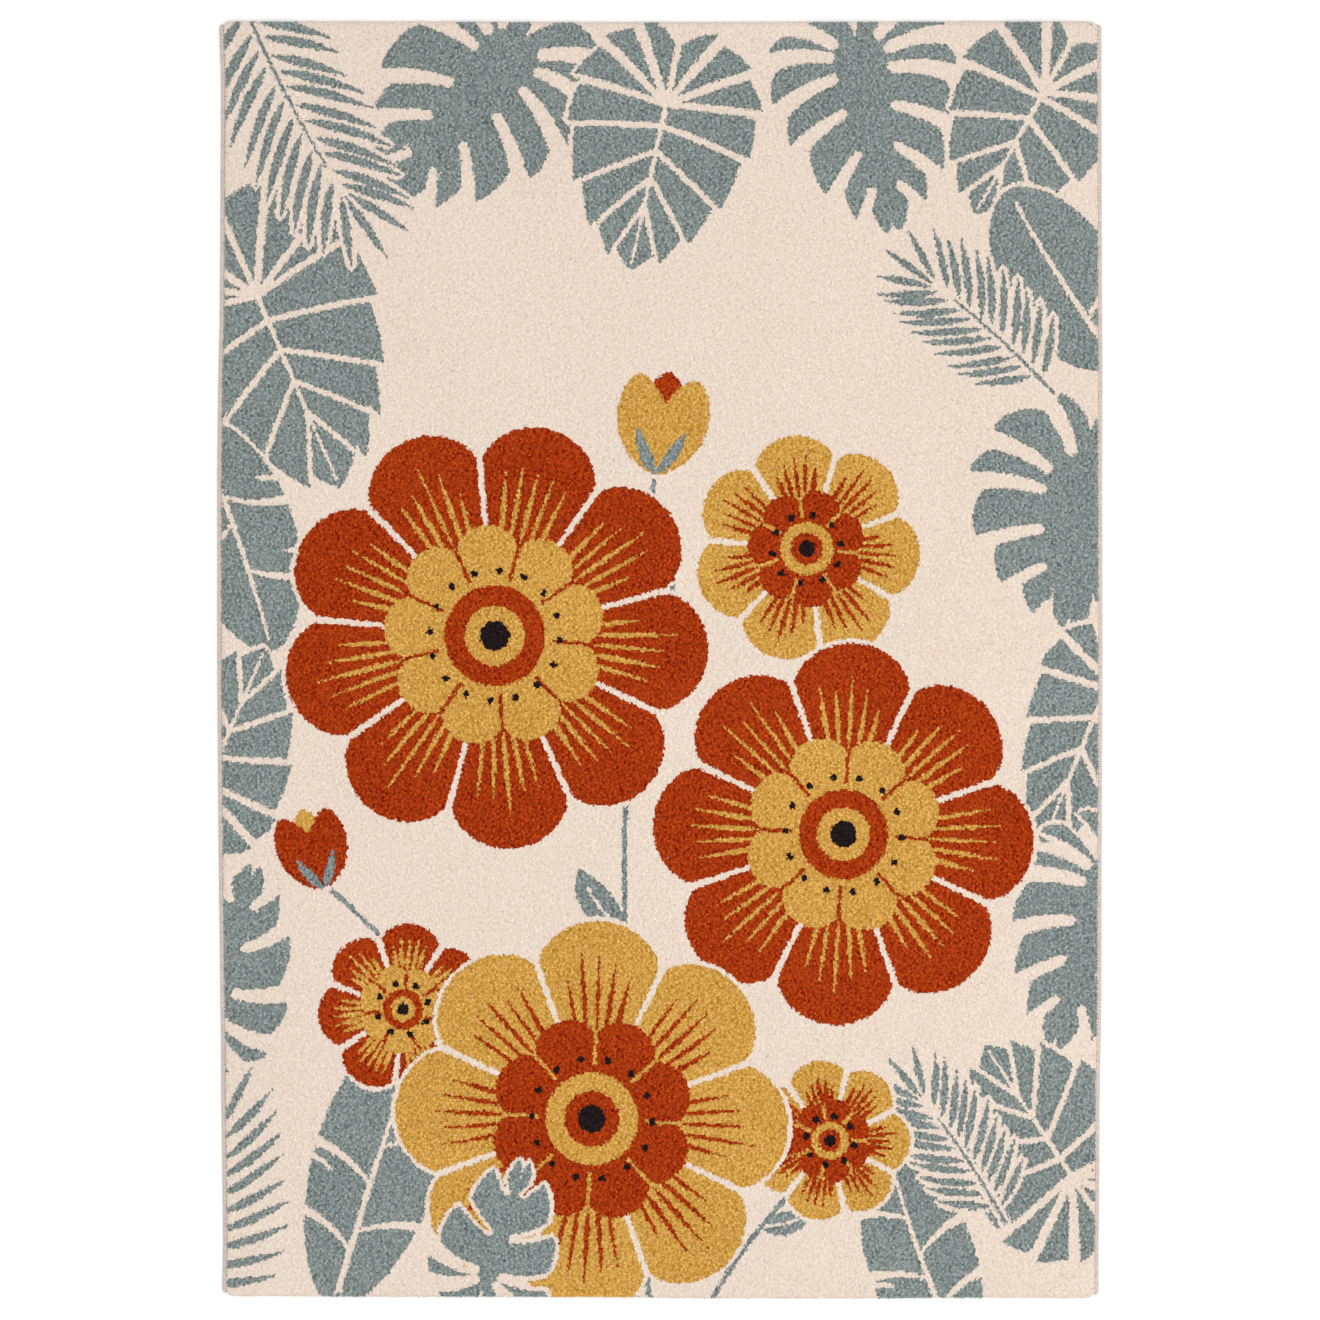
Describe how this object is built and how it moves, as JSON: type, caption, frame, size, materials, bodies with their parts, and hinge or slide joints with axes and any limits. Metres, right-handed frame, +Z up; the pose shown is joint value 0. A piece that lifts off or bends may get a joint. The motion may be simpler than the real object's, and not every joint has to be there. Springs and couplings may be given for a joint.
{
  "type": "rectangular kids rug",
  "caption": "Flat rectangular kids rug of short woven pile, with a leaf border round a plain ground, large blossoms in the middle and yarn-overcast long sides.",
  "frame": {"origin": "on the floor, under the middle of the rug's outline", "axes": "+Y along the rug to the top end of its pattern, +X to its right-hand side seen from above, +Z up out of the pile"},
  "size_m": [1.111, 1.6, 0.0125],
  "materials": {
    "pile": "short heat-set cut pile, matt, in warm ivory with grey-green, rust, mustard and near-black yarns",
    "overcast_yarn": "matt spun yarn in a dusty beige"
  },
  "bodies": {
    "root": {"rug": "pile", "edge_overcast_left": "overcast_yarn", "edge_overcast_right": "overcast_yarn"}
  },
  "joints": []
}
